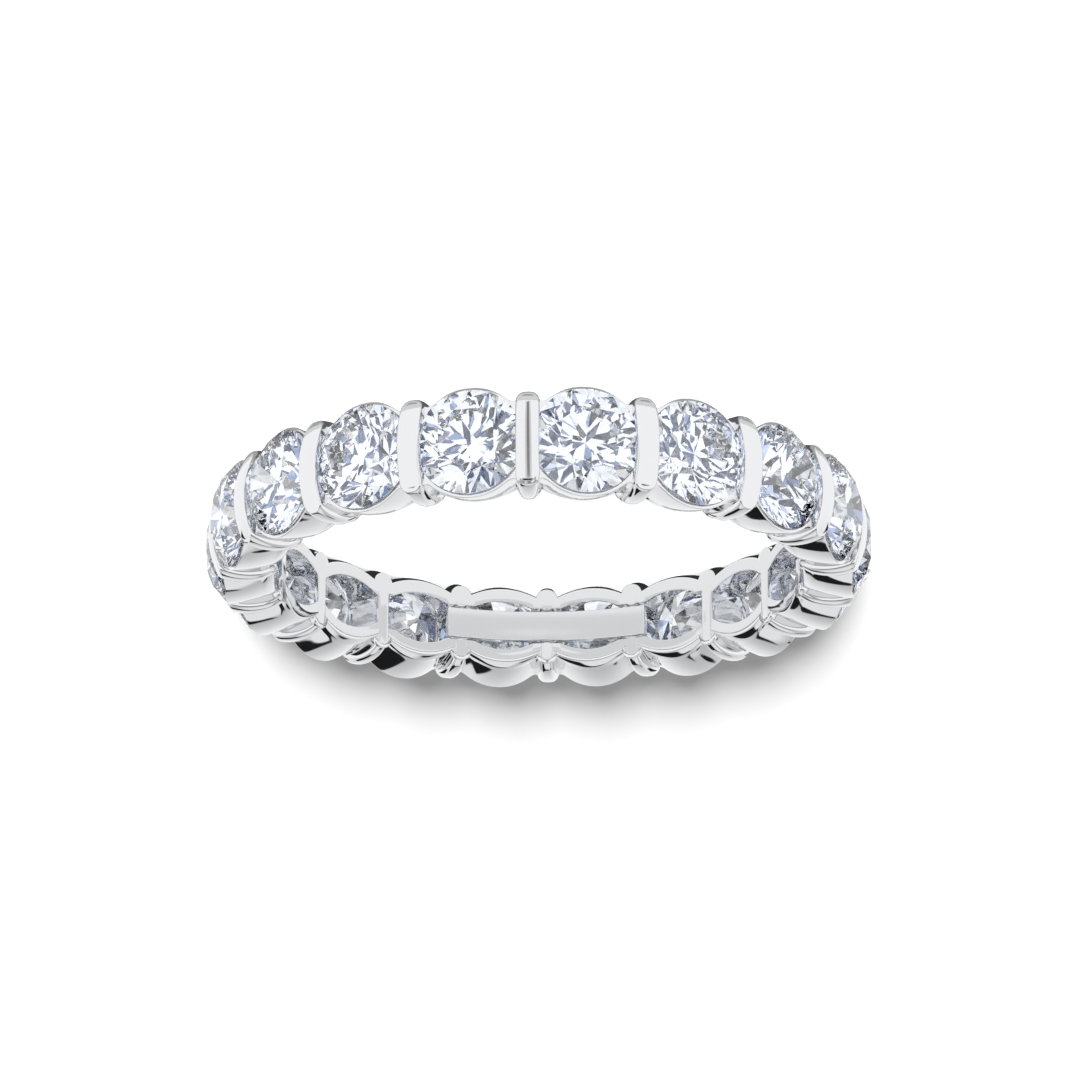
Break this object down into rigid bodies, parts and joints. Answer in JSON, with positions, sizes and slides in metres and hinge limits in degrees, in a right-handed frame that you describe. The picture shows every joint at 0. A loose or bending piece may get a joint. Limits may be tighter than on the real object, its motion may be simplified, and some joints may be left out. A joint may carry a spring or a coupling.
{
  "type": "diamond eternity band",
  "caption": "Eternity band with round brilliants set between bars and scalloped collars all round, on open rails, with a plain sizing plate inside.",
  "frame": {"origin": "centre of the finger hole, on the surface that the ring lies on", "axes": "+Z along the finger hole; -Y towards the front bar, +Y towards the sizing plate"},
  "size_m": [0.0208, 0.0208, 0.0034],
  "materials": {
    "white_metal": "polished",
    "diamond": "faceted and polished"
  },
  "bodies": {
    "root": {"setting": "white_metal", "stone_01": "diamond", "stone_02": "diamond", "stone_03": "diamond", "stone_04": "diamond", "stone_05": "diamond", "stone_06": "diamond", "stone_07": "diamond", "stone_08": "diamond", "stone_09": "diamond", "stone_10": "diamond", "stone_11": "diamond", "stone_12": "diamond", "stone_13": "diamond", "stone_14": "diamond", "stone_15": "diamond", "stone_16": "diamond", "stone_17": "diamond", "stone_18": "diamond"}
  },
  "joints": []
}
